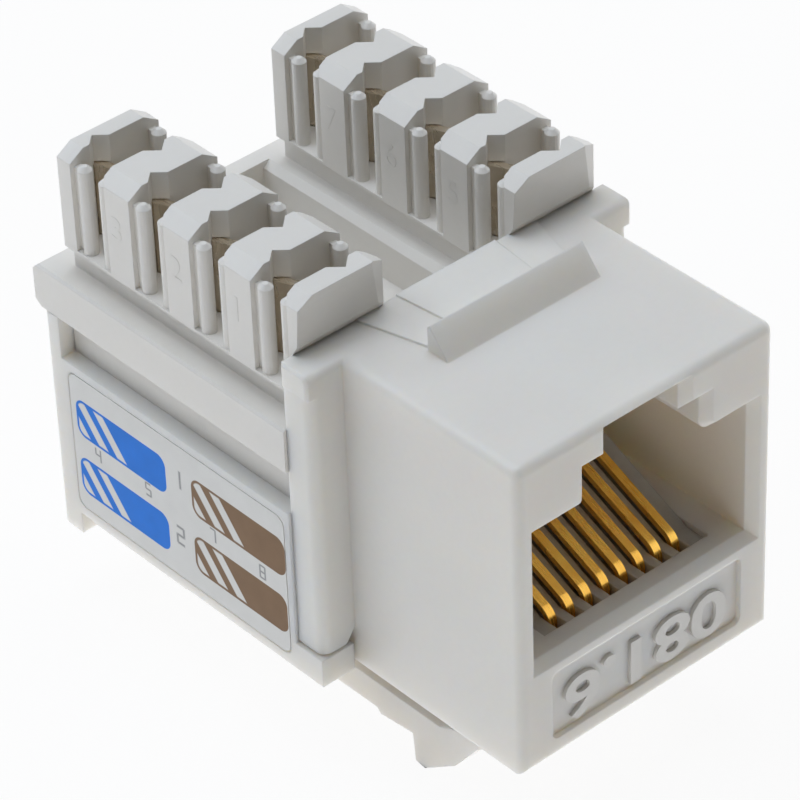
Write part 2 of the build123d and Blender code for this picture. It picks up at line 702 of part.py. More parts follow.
def label_outline(gap):
    """Label outline on a casing side, as (y, z), grown by a gap all round."""
    y0 = HOUSING_D + LABEL_FRONT
    y1 = CASE_REAR_Y - LABEL_REAR
    z0 = CASE_Z0 + LABEL_FOOT
    z1 = CASE_TOP_Z - LABEL_HEAD
    outline = RectangleRounded(y1 - y0 + 2 * gap, z1 - z0 + 2 * gap, LABEL_CORNER_R)
    return Pos((y0 + y1) / 2, (z0 + z1) / 2) * outline


def label_plate(side, gap):
    """Plate lying in the casing's side face; side is -1 or 1."""
    x0 = min(side * BODY_HALF_W, side * (BODY_HALF_W - LABEL_T))
    plane = Plane(origin=(x0, 0, 0), x_dir=(0, 1, 0), z_dir=(1, 0, 0))
    return extrude(plane * label_outline(gap), amount=LABEL_T, dir=(1, 0, 0))


def side_block(side, inner_x, y0, y1, z0, z1):
    """Box from inner_x out to the casing's side face; side is -1 or 1."""
    ends = sorted((side * inner_x, side * BODY_HALF_W))
    return block(*ends, y0, y1, z0, z1)


def lower_casing():
    """Open tray under the terminal block."""
    body = block(-BODY_HALF_W, BODY_HALF_W, HOUSING_D, CASE_REAR_Y, CASE_Z0, CASE_TOP_Z)
    rear_corners = body.edges().filter_by(Axis.Z).sort_by(Axis.Y)[-2:]
    body = fillet(rear_corners, CASE_CORNER_R)
    inner_half = BODY_HALF_W - CASE_WALL
    inner_rear = CASE_REAR_Y - CASE_WALL
    sole_y = HOUSING_D + SOLE_START
    sole_z = CASE_Z0 - SOLE_H
    sole = [(sole_y, CASE_Z0), (sole_y + SOLE_RAMP, sole_z), (inner_rear, sole_z), (inner_rear, CASE_Z0)]
    sole_half = BODY_HALF_W - CASE_CORNER_R
    body += side_prism(sole, -sole_half, sole_half)
    floor_z = CASE_Z0 + CASE_FLOOR_T
    ledge_half = inner_half - LEDGE_W
    front_y = HOUSING_D - PAST
    body -= block(-ledge_half, ledge_half, front_y, inner_rear, floor_z, CASE_TOP_Z + PAST)
    body -= block(-inner_half, inner_half, front_y, inner_rear, BOARD_Z0, CASE_TOP_Z + PAST)
    toe_x = HOUSING_W / 2 + TOE_SIDE_GAP
    for side in (-1, 1):
        body += side_block(side, toe_x, HOUSING_D - TOE_L, HOUSING_D, CASE_Z0, POST_Z0 - TOE_TOP_GAP)
        foot_z0 = CASE_Z0 - FOOT_H
        foot = side_block(side, BODY_HALF_W - FOOT_W, CASE_REAR_Y - FOOT_L, CASE_REAR_Y, foot_z0, CASE_Z0)
        body += fillet(foot.edges().filter_by(Axis.Z).sort_by(Axis.Y)[-2:], CASE_CORNER_R)
        post_x = BODY_HALF_W - SKIRT_INSET
        post_y = CASE_REAR_Y - CORNER_POST_L
        post = side_block(side, post_x, post_y, CASE_REAR_Y, CASE_TOP_Z - CASE_WALL, RIM_Z0)
        rear_edges = post.edges().filter_by(Axis.Z).sort_by(Axis.Y)[-2:]
        outer_edge = rear_edges.sort_by(Axis.X)[0 if side < 0 else -1]
        body += fillet(outer_edge, CASE_CORNER_R)
        body -= label_plate(side, LABEL_GAP)
    return body


os.makedirs("parts", exist_ok=True)

pieces = {
    "front_housing": front_housing(),
    "latch_arm": latch_arm(),
    "contact_carrier": contact_carrier(),
    "circuit_board": circuit_board(),
    "idc_block": idc_block(),
    "lower_casing": lower_casing(),
    "label_left": label_plate(-1, 0),
    "label_right": label_plate(1, 0),
}
for index in range(CONTACT_COUNT):
    pieces[f"contact_{index + 1}"] = contact(index)
number = 1
for row_x in row_origins():
    for index in range(1, TOWER_COUNT + 2):
        pieces[f"idc_terminal_{number}"] = idc_terminal(row_x, index)
        number += 1

for name, piece in pieces.items():
    piece.label = name
    export_step(piece, f"parts/{name}.step")
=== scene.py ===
"""Studio scene of a white keystone jack: finishes, moulded figures, label print, light and camera."""

import logging
import math
from dataclasses import dataclass, field
from enum import Enum

import bmesh
import bpy
from mathutils import Matrix, Vector


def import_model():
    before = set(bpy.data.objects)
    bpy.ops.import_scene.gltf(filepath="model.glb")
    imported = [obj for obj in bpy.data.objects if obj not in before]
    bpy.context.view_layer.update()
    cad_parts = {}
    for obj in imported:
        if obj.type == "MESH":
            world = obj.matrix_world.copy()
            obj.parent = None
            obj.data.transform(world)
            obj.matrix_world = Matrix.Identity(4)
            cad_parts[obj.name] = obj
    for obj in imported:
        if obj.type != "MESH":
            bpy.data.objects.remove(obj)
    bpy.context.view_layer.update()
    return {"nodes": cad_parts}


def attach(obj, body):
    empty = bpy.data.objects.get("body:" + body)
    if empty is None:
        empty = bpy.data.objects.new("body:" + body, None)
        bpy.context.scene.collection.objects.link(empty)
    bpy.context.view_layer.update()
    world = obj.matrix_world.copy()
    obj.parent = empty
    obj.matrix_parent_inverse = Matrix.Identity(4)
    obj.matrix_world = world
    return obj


logging.basicConfig(level=logging.INFO, format="%(message)s")
LOG = logging.getLogger("keystone_jack")

MM = 0.001
ROOT_BODY = "jack"

RGB = tuple[float, float, float]
WHITE: RGB = (0.79, 0.76, 0.71)
WHITE_SHADE: RGB = (0.765, 0.735, 0.685)
LABEL_WHITE: RGB = (0.80, 0.785, 0.75)
LABEL_GREY: RGB = (0.10, 0.10, 0.11)
PURE_WHITE: RGB = (1.0, 1.0, 1.0)

CENTRE = (0.0, 10.0 * MM, 9.0 * MM)
HALF = 0.5


class Side(Enum):
    """The two long sides of the jack, with the sign of X each one faces."""

    LEFT = -1
    RIGHT = 1


class Wire(Enum):
    """Field colours of the printed wiring labels."""

    BLUE = (0.004, 0.165, 0.64)
    BROWN = (0.20, 0.118, 0.062)
    ORANGE = (0.78, 0.21, 0.02)
    GREEN = (0.02, 0.30, 0.09)


class NodeSheet:
    """Short-hand for building one shader node tree."""

    def __init__(self, tree: bpy.types.NodeTree) -> None:
        """Wraps a node tree.

        Args:
            tree: The tree that new nodes go into.
        """
        self.tree = tree

    def add(self, kind: str, **values: object) -> bpy.types.Node:
        """Adds a node and sets its plain properties.

        Args:
            kind: Blender's node type name.
            **values: Property names and values of the node.

        Returns:
            The new node.
        """
        node = self.tree.nodes.new(kind)
        for name, value in values.items():
            setattr(node, name, value)
        return node

    def link(self, source: object, target: object) -> None:
        """Feeds a socket from another socket or from a constant.

        Args:
            source: An output socket, or a number or tuple.
            target: The input socket.
        """
        if isinstance(source, bpy.types.NodeSocket):
            self.tree.links.new(source, target)
        else:
            target.default_value = source

    def math(
        self, operation: str, a: object, b: object = 0.0, c: object = 0.0, clamp: bool = False
    ) -> bpy.types.NodeSocket:
        """Adds a Math node.

        Args:
            operation: The node's operation, such as ADD.
            a: First input.
            b: Second input.
            c: Third input.
            clamp: Whether the result is held between 0 and 1.

        Returns:
            The result socket.
        """
        node = self.add("ShaderNodeMath", operation=operation, use_clamp=clamp)
        for socket, value in zip(node.inputs, (a, b, c)):
            self.link(value, socket)
        return node.outputs[0]

    def edge(self, reach: object, sharpness: float) -> bpy.types.NodeSocket:
        """Turns a distance into a mask with a soft edge.

        Args:
            reach: Distance, positive on the masked side.
            sharpness: Steepness of the edge, negative for a mask of the other side.

        Returns:
            A mask from 0 to 1, a half on the edge itself.
        """
        return self.math("MULTIPLY_ADD", reach, sharpness, HALF, clamp=True)

    def mix(self, factor: object, a: object, b: object) -> bpy.types.NodeSocket:
        """Mixes two colours.

        Args:
            factor: Share of the second colour.
            a: First colour.
            b: Second colour.

        Returns:
            The colour socket.
        """
        node = self.add("ShaderNodeMix", data_type="RGBA")
        self.link(factor, node.inputs[0])
        self.link(a, node.inputs[6])
        self.link(b, node.inputs[7])
        return node.outputs[2]

    def noise(
        self, coords: object, scale: float, detail: float = 3.0, roughness: float = HALF
    ) -> bpy.types.NodeSocket:
        """Adds a noise field.

        Args:
            coords: Vector socket it is read at.
            scale: Features per metre.
            detail: Octaves.
            roughness: Weight of the finer octaves.

        Returns:
            The value socket, about 0.5 on average.
        """
        node = self.add("ShaderNodeTexNoise")
        self.link(coords, node.inputs["Vector"])
        node.inputs["Scale"].default_value = scale
        node.inputs["Detail"].default_value = detail
        node.inputs["Roughness"].default_value = roughness
        return node.outputs[0]


def rgba(colour: RGB, alpha: float = 1.0) -> tuple[float, float, float, float]:
    """Adds an alpha to a colour.

    Args:
        colour: Linear red, green and blue.
        alpha: Opacity.

    Returns:
        The four values.
    """
    return (*colour, alpha)


class Groups:
    """Shared shader node groups, each made once.

    Attributes:
        CLOUD_SCALE: Tone clouds per metre.
        SPECK_SCALE: Fine specks per metre.
        SPECK_SHARE: Share of the specks in the tone.
        FLOW_SCALE: Flow marks per metre.
        GRAIN_SCALE: Surface grain per metre.
        GRAIN_SHARE: Share of the grain in the height.
        CRISP: Sharpness of a printed edge, per millimetre.
        SOFT: Sharpness of a stripe's edge.
        FIELD_RIM: Width of the plain rim round the stripes of a field, in millimetres.
        SLANT: Lean of the stripes.
        SHIFT: Where the stripes begin, past the field's middle, in millimetres.
        BAR_SHARPNESS: Sharpness of a digit's bars, per height of the digit.
    """

    CLOUD_SCALE = 130.0
    SPECK_SCALE = 2600.0
    SPECK_SHARE = 0.25
    FLOW_SCALE = 420.0
    GRAIN_SCALE = 5200.0
    GRAIN_SHARE = 0.35
    CRISP = 40.0
    SOFT = 16.0
    FIELD_RIM = 0.14
    SLANT = -0.85
    SHIFT = 0.13
    BAR_SHARPNESS = -12.0

    @staticmethod
    def _new(
        name: str, inputs: list[tuple[str, str, object]], outputs: list[tuple[str, str]]
    ) -> tuple[bpy.types.NodeTree, NodeSheet]:
        """Starts a group with its interface.

        Args:
            name: The group's name.
            inputs: Name, socket type and default of each input.
            outputs: Name and socket type of each output.

        Returns:
            The tree and its short-hand.
        """
        tree = bpy.data.node_groups.new(name, "ShaderNodeTree")
        for label, kind, default in inputs:
            socket = tree.interface.new_socket(label, in_out="INPUT", socket_type=kind)
            if default is not None:
                socket.default_value = default
        for label, kind in outputs:
            tree.interface.new_socket(label, in_out="OUTPUT", socket_type=kind)
        return tree, NodeSheet(tree)

    @classmethod
    def moulding(cls) -> bpy.types.NodeTree:
        """Cloudy tone and fine surface grain of moulded plastic.

        Returns:
            A group from coordinates to a tone mask, a gloss value and a height.
        """
        name = "Moulding"
        if name in bpy.data.node_groups:
            return bpy.data.node_groups[name]
        tree, s = cls._new(
            name,
            [("Coords", "NodeSocketVector", None)],
            [("Tone", "NodeSocketFloat"), ("Gloss", "NodeSocketFloat"), ("Height", "NodeSocketFloat")],
        )
        inp, out = s.add("NodeGroupInput"), s.add("NodeGroupOutput")
        cloud = s.noise(inp.outputs[0], cls.CLOUD_SCALE, detail=2.0)
        specks = s.noise(inp.outputs[0], cls.SPECK_SCALE, detail=2.0, roughness=0.6)
        flow = s.noise(inp.outputs[0], cls.FLOW_SCALE, detail=3.0)
        grain = s.noise(inp.outputs[0], cls.GRAIN_SCALE, detail=2.0)
        clouds = s.math("MULTIPLY", cloud, 1.0 - cls.SPECK_SHARE)
        tone = s.math("ADD", clouds, s.math("MULTIPLY", specks, cls.SPECK_SHARE))
        fine = s.math("MULTIPLY", grain, cls.GRAIN_SHARE)
        height = s.math("ADD", fine, s.math("MULTIPLY", flow, 1.0 - cls.GRAIN_SHARE))
        s.link(tone, out.inputs["Tone"])
        s.link(flow, out.inputs["Gloss"])
        s.link(height, out.inputs["Height"])
        return tree

    @classmethod
    def field(cls) -> bpy.types.NodeTree:
        """A printed field: striped at one end, solid at the other, with round corners.

        Returns:
            A group from label coordinates to the ink mask.
        """
        name = "Printed field"
        if name in bpy.data.node_groups:
            return bpy.data.node_groups[name]
        tree, s = cls._new(
            name,
            [
                ("Along", "NodeSocketFloat", 0.0),
                ("Up", "NodeSocketFloat", 0.0),
                ("Half length", "NodeSocketFloat", 1.0),
                ("Half height", "NodeSocketFloat", 1.0),
                ("Radius", "NodeSocketFloat", 0.3),
                ("Stripe pitch", "NodeSocketFloat", 1.0),
                ("Stripe share", "NodeSocketFloat", 0.5),
            ],
            [("Ink", "NodeSocketFloat")],
        )
        inp, out = s.add("NodeGroupInput"), s.add("NodeGroupOutput")
        along, up, half_l, half_h, radius, pitch, share = inp.outputs[:7]
        past_l = s.math("SUBTRACT", s.math("ABSOLUTE", along), s.math("SUBTRACT", half_l, radius))
        past_h = s.math("SUBTRACT", s.math("ABSOLUTE", up), s.math("SUBTRACT", half_h, radius))
        dx, dz = s.math("MAXIMUM", past_l, 0.0), s.math("MAXIMUM", past_h, 0.0)
        reach = s.math("SQRT", s.math("ADD", s.math("MULTIPLY", dx, dx), s.math("MULTIPLY", dz, dz)))
        inside = s.edge(s.math("SUBTRACT", radius, reach), cls.CRISP)
        inner_reach = s.math("SUBTRACT", s.math("SUBTRACT", radius, cls.FIELD_RIM), reach)
        inner = s.edge(inner_reach, cls.SOFT)
        across = s.math("SUBTRACT", s.math("ADD", along, s.math("MULTIPLY", up, cls.SLANT)), cls.SHIFT)
        fraction = s.math("FRACT", s.math("DIVIDE", across, pitch))
        wave = s.math("ABSOLUTE", s.math("SUBTRACT", fraction, HALF))
        gap = s.edge(s.math("SUBTRACT", s.math("MULTIPLY", share, HALF), wave), cls.SOFT)
        striped = s.math("MULTIPLY", s.edge(across, cls.CRISP), inner)
        bare = s.math("MULTIPLY", gap, striped)
        s.link(s.math("MULTIPLY", inside, s.math("SUBTRACT", 1.0, bare)), out.inputs["Ink"])
        return tree

    @classmethod
    def digit(cls) -> bpy.types.NodeTree:
        """A printed digit made of seven bars.

        Returns:
            A group from label coordinates and the shares of the bars to the ink mask.
        """
        name = "Printed digit"
        if name in bpy.data.node_groups:
            return bpy.data.node_groups[name]
        flags = [(f"Bar {letter}", "NodeSocketFloat", 0.0) for letter in Digit.BARS]
        places = [
            ("Along", "NodeSocketFloat", 0.0),
            ("Up", "NodeSocketFloat", 0.0),
            ("Height", "NodeSocketFloat", 1.0),
        ]
        tree, s = cls._new(name, places + flags, [("Ink", "NodeSocketFloat")])
        inp, out = s.add("NodeGroupInput"), s.add("NodeGroupOutput")
        across = s.math("DIVIDE", inp.outputs["Along"], inp.outputs["Height"])
        upward = s.math("DIVIDE", inp.outputs["Up"], inp.outputs["Height"])
        ink = 0.0
        for letter, (x, y, half_x, half_y) in Digit.BARS.items():
            over_x = s.math("SUBTRACT", s.math("ABSOLUTE", s.math("SUBTRACT", across, x)), half_x)
            over_y = s.math("SUBTRACT", s.math("ABSOLUTE", s.math("SUBTRACT", upward, y)), half_y)
            bar = s.edge(s.math("MAXIMUM", over_x, over_y), cls.BAR_SHARPNESS)
            ink = s.math("MAXIMUM", ink, s.math("MULTIPLY", bar, inp.outputs[f"Bar {letter}"]))
        s.link(ink, out.inputs["Ink"])
        return tree


class Digit:
    """Bars of a plain printed digit, in shares of its height.

    Attributes:
        SIDE: How far the side bars stand from the middle, and half a cross bar's length.
        END: How far the top and bottom bars stand from the middle.
        THIN: Half thickness of a bar.
        TALL: Half length of a side bar.
        BARS: Middle and half sizes of each bar.
        LIT: The bars that each digit shows.
    """

    SIDE, END, THIN, TALL = 0.22, 0.44, 0.06, 0.24
    BARS: dict[str, tuple[float, float, float, float]] = {
        "a": (0.0, END, SIDE, THIN),
        "b": (SIDE, SIDE, THIN, TALL),
        "c": (SIDE, -SIDE, THIN, TALL),
        "d": (0.0, -END, SIDE, THIN),
        "e": (-SIDE, -SIDE, THIN, TALL),
        "f": (-SIDE, SIDE, THIN, TALL),
        "g": (0.0, 0.0, SIDE, THIN),
    }
    LIT: dict[int, str] = {
        1: "bc",
        2: "abged",
        3: "abgcd",
        4: "fgbc",
        5: "afgcd",
        6: "afgedc",
        7: "abc",
        8: "abcdefg",
    }


@dataclass(frozen=True)
class Finish:
    """A procedural finish.

    Attributes:
        name: The material's name.
        colour: Its main linear colour.
        roughness: Surface roughness.
        metallic: 1 for metal.
    """

    name: str
    colour: RGB
    roughness: float = 0.4
    metallic: float = 0.0

    def start(self) -> tuple[bpy.types.Material, NodeSheet, bpy.types.Node, bpy.types.NodeSocket]:
        """Makes the material with its shader and object coordinates.

        Returns:
            The material, its short-hand, the shader node and the coordinates.
        """
        material = bpy.data.materials.new(self.name)
        material.use_nodes = True
        sheet = NodeSheet(material.node_tree)
        shader = next(n for n in material.node_tree.nodes if n.type == "BSDF_PRINCIPLED")
        shader.inputs["Metallic"].default_value = self.metallic
        shader.inputs["Roughness"].default_value = self.roughness
        coords = sheet.add("ShaderNodeTexCoord").outputs["Object"]
        return material, sheet, shader, coords

    def build(self) -> bpy.types.Material:
        """Builds the material.

        Returns:
            The finished material.
        """
        material, _, shader, _ = self.start()
        shader.inputs["Base Color"].default_value = rgba(self.colour)
        return material


@dataclass(frozen=True)
class MouldedPlastic(Finish):
    """Injection-moulded plastic with soft edges and faint flow marks.

    Attributes:
        shade: Colour in the slightly darker clouds.
        edge_radius: Radius that the light sees on hard edges, in metres.
        bump: Height of the surface grain, in metres.
        bump_strength: How strongly the grain tilts the light.
        cloud_range: Tones between which a cloud turns from shade to colour.
        gloss_spread: How far the roughness strays either way.
        specular: Strength of the surface reflection.
        inner_glow: Share of light scattered under the surface.
        glow_reach: How far red, green and blue travel there, in shares of the depth.
        glow_depth: Depth that the scattered light reaches, in metres.
    """

    shade: RGB = (0.6, 0.6, 0.6)
    edge_radius: float = 0.12 * MM
    bump: float = 0.02 * MM
    bump_strength: float = 0.35
    cloud_range: tuple[float, float] = (0.35, 0.62)
    gloss_spread: float = 0.07
    specular: float = 0.42
    inner_glow: float = 0.5
    glow_reach: RGB = (1.0, 0.79, 0.55)
    glow_depth: float = 2.6 * MM

    def build(self) -> bpy.types.Material:
        """Builds the material.

        Returns:
            The finished material.
        """
        material, s, shader, coords = self.start()
        group = s.add("ShaderNodeGroup", node_tree=Groups.moulding())
        s.link(coords, group.inputs[0])
        ramp = s.add("ShaderNodeMapRange")
        s.link(group.outputs["Tone"], ramp.inputs["Value"])
        ramp.inputs["From Min"].default_value, ramp.inputs["From Max"].default_value = self.cloud_range
        s.link(s.mix(ramp.outputs[0], rgba(self.shade), rgba(self.colour)), shader.inputs["Base Color"])
        gloss = s.add("ShaderNodeMapRange")
        s.link(group.outputs["Gloss"], gloss.inputs["Value"])
        gloss.inputs["To Min"].default_value = self.roughness - self.gloss_spread
        gloss.inputs["To Max"].default_value = self.roughness + self.gloss_spread
        s.link(gloss.outputs[0], shader.inputs["Roughness"])
        bevel = s.add("ShaderNodeBevel", samples=6)
        bevel.inputs["Radius"].default_value = self.edge_radius
        bump = s.add("ShaderNodeBump")
        bump.inputs["Strength"].default_value = self.bump_strength
        bump.inputs["Distance"].default_value = self.bump
        s.link(group.outputs["Height"], bump.inputs["Height"])
        s.link(bevel.outputs[0], bump.inputs["Normal"])
        s.link(bump.outputs[0], shader.inputs["Normal"])
        shader.inputs["Subsurface Weight"].default_value = self.inner_glow
        shader.inputs["Subsurface Radius"].default_value = self.glow_reach
        shader.inputs["Subsurface Scale"].default_value = self.glow_depth
        shader.inputs["Specular IOR Level"].default_value = self.specular
        return material


@dataclass(frozen=True)
class PlatedMetal(Finish):
    """Plated spring metal with fine drawn lines and a little tarnish.

    Attributes:
        tarnish: Colour of the duller patches.
        patch_scale: Duller patches per metre.
        patch_gain: How sharply a patch stands out.
        patch_offset: Shift of the patches' level, lower for fewer of them.
        line_scale: Drawn lines per metre.
        line_stretch: Share of that scale along X, Y and Z, small where the lines run long.
        line_depth: Depth of a line, in metres.
        line_strength: How strongly the lines tilt the light.
        line_gloss: How far the lines change the roughness in all.
    """

    tarnish: RGB = (0.4, 0.3, 0.15)
    patch_scale: float = 700.0
    patch_gain: float = 1.6
    patch_offset: float = -0.55
    line_scale: float = 9000.0
    line_stretch: tuple[float, float, float] = (1.0, 0.06, 0.06)
    line_depth: float = 0.01 * MM
    line_strength: float = 0.25
    line_gloss: float = 0.2

    def build(self) -> bpy.types.Material:
        """Builds the material.

        Returns:
            The finished material.
        """
        material, s, shader, coords = self.start()
        patches = s.noise(coords, self.patch_scale, detail=4.0)
        dull = s.math("MULTIPLY_ADD", patches, self.patch_gain, self.patch_offset, clamp=True)
        s.link(s.mix(dull, rgba(self.colour), rgba(self.tarnish)), shader.inputs["Base Color"])
        stretch = s.add("ShaderNodeMapping")
        stretch.inputs["Scale"].default_value = self.line_stretch
        s.link(coords, stretch.inputs["Vector"])
        lines = s.noise(stretch.outputs[0], self.line_scale, detail=2.0)
        bump = s.add("ShaderNodeBump")
        bump.inputs["Strength"].default_value = self.line_strength
        bump.inputs["Distance"].default_value = self.line_depth
        s.link(lines, bump.inputs["Height"])
        s.link(bump.outputs[0], shader.inputs["Normal"])
        smoothest = self.roughness - HALF * self.line_gloss
        s.link(s.math("MULTIPLY_ADD", lines, self.line_gloss, smoothest), shader.inputs["Roughness"])
        return material


@dataclass(frozen=True)
class BoardMask(Finish):
    """Solder mask with tracks showing through as lighter lines.

    Attributes:
        track: Colour over the copper tracks.
        track_scale: Scale of the tracks, per metre.
        track_bend: How far the tracks wander.
        track_level: Level of the wave above which a track lies.
        track_height: How far a track stands up, in metres.
    """

    track: RGB = (0.05, 0.32, 0.14)
    track_scale: float = 310.0
    track_bend: float = 2.5
    track_level: float = 0.72
    track_height: float = 0.03 * MM

    def build(self) -> bpy.types.Material:
        """Builds the material.

        Returns:
            The finished material.
        """
        material, s, shader, coords = self.start()
        waves = s.add("ShaderNodeTexWave", wave_type="BANDS", bands_direction="X")
        s.link(coords, waves.inputs["Vector"])
        waves.inputs["Scale"].default_value = self.track_scale
        waves.inputs["Distortion"].default_value = self.track_bend
        tracks = s.math("GREATER_THAN", waves.outputs[1], self.track_level)
        s.link(s.mix(tracks, rgba(self.colour), rgba(self.track)), shader.inputs["Base Color"])
        bump = s.add("ShaderNodeBump")
        bump.inputs["Distance"].default_value = self.track_height
        s.link(tracks, bump.inputs["Height"])
        s.link(bump.outputs[0], shader.inputs["Normal"])
        return material


@dataclass(frozen=True)
class FieldSpec:
    """Place of one printed field on a label, in millimetres.

    Attributes:
        ink: Its colour.
        along: Middle, along the jack from the front face.
        up: Middle, above the front's lower edge.
    """

    ink: Wire
    along: float
    up: float


@dataclass(frozen=True)
class MarkSpec:
    """Place of one printed digit on a label, in millimetres.

    Attributes:
        digit: The digit.
        along: Middle, along the jack from the front face.
        up: Middle, above the front's lower edge.
        height: Its height.
    """

    digit: int
    along: float
    up: float
    height: float = 0.75


@dataclass(frozen=True)
class LabelPrint(Finish):
    """White film printed with striped fields of colour.

    Attributes:
        side: The side it faces, which sets the way its digits read.
        fields: The printed fields.
        marks: The printed digits.
        half_length: Half length of a field, in millimetres.
        half_height: Half height of a field, in millimetres.
        radius: Corner radius of a field, in millimetres.
        stripe_pitch: Distance from stripe to stripe, in millimetres.
        stripe_share: Share of the pitch left white.
        mark_strength: How strongly the digits are printed.
        mottle_scale: Mottles of the film per metre.
        mottle_gain: How sharply a mottle stands out.
        mottle_offset: Shift of the mottles' level.
        film_shade: Brightness of the film in its duller mottles.
        thin_gain: How much lighter the ink is where it is thin.
        thin_lift: Linear value added to the thin ink.
        specular: Strength of the film's reflection.
        bump: Height of the mottles, in metres.
        bump_strength: How strongly they tilt the light.
    """

    side: Side = Side.LEFT
    fields: tuple[FieldSpec, ...] = ()
    marks: tuple[MarkSpec, ...] = ()
    half_length: float = 3.1
    half_height: float = 1.03
    radius: float = 0.55
    stripe_pitch: float = 1.27
    stripe_share: float = 0.52
    mark_strength: float = 0.7
    mottle_scale: float = 900.0
    mottle_gain: float = 1.2
    mottle_offset: float = -0.1
    film_shade: float = 0.92
    thin_gain: float = 1.5
    thin_lift: float = 0.01
    specular: float = 0.08
    bump: float = 0.02 * MM
    bump_strength: float = 0.15

    def build(self) -> bpy.types.Material:
        """Builds the material.

        Returns:
            The finished material.
        """
        material, s, shader, coords = self.start()
        split = s.add("ShaderNodeSeparateXYZ")
        s.link(coords, split.inputs[0])
        along = s.math("DIVIDE", split.outputs[1], MM)
        up = s.math("DIVIDE", split.outputs[2], MM)
        mottle = s.noise(coords, self.mottle_scale, detail=3.0)
        clean = s.math("MULTIPLY_ADD", mottle, self.mottle_gain, self.mottle_offset, clamp=True)
        faded = s.math("MULTIPLY", mottle, HALF)
        colour = s.mix(clean, rgba(tuple(self.film_shade * c for c in self.colour)), rgba(self.colour))
        for spec in self.fields:
            group = s.add("ShaderNodeGroup", node_tree=Groups.field())
            s.link(s.math("SUBTRACT", along, spec.along), group.inputs["Along"])
            s.link(s.math("SUBTRACT", up, spec.up), group.inputs["Up"])
            group.inputs["Half length"].default_value = self.half_length
            group.inputs["Half height"].default_value = self.half_height
            group.inputs["Radius"].default_value = self.radius
            group.inputs["Stripe pitch"].default_value = self.stripe_pitch
            group.inputs["Stripe share"].default_value = self.stripe_share
            thin_ink = tuple(min(1.0, self.thin_gain * c + self.thin_lift) for c in spec.ink.value)
            ink = s.mix(faded, rgba(spec.ink.value), rgba(thin_ink))
            colour = s.mix(group.outputs["Ink"], colour, ink)
        for mark in self.marks:
            group = s.add("ShaderNodeGroup", node_tree=Groups.digit())
            rightward = s.math("MULTIPLY", s.math("SUBTRACT", along, mark.along), float(self.side.value))
            s.link(rightward, group.inputs["Along"])
            s.link(s.math("SUBTRACT", up, mark.up), group.inputs["Up"])
            group.inputs["Height"].default_value = mark.height
            for letter in Digit.LIT[mark.digit]:
                group.inputs[f"Bar {letter}"].default_value = 1.0
            grey = s.math("MULTIPLY", group.outputs["Ink"], self.mark_strength)
            colour = s.mix(grey, colour, rgba(LABEL_GREY))
        s.link(colour, shader.inputs["Base Color"])
        shader.inputs["Specular IOR Level"].default_value = self.specular
        bump = s.add("ShaderNodeBump")
        bump.inputs["Strength"].default_value = self.bump_strength
        bump.inputs["Distance"].default_value = self.bump
        s.link(mottle, bump.inputs["Height"])
        s.link(bump.outputs[0], shader.inputs["Normal"])
        return material


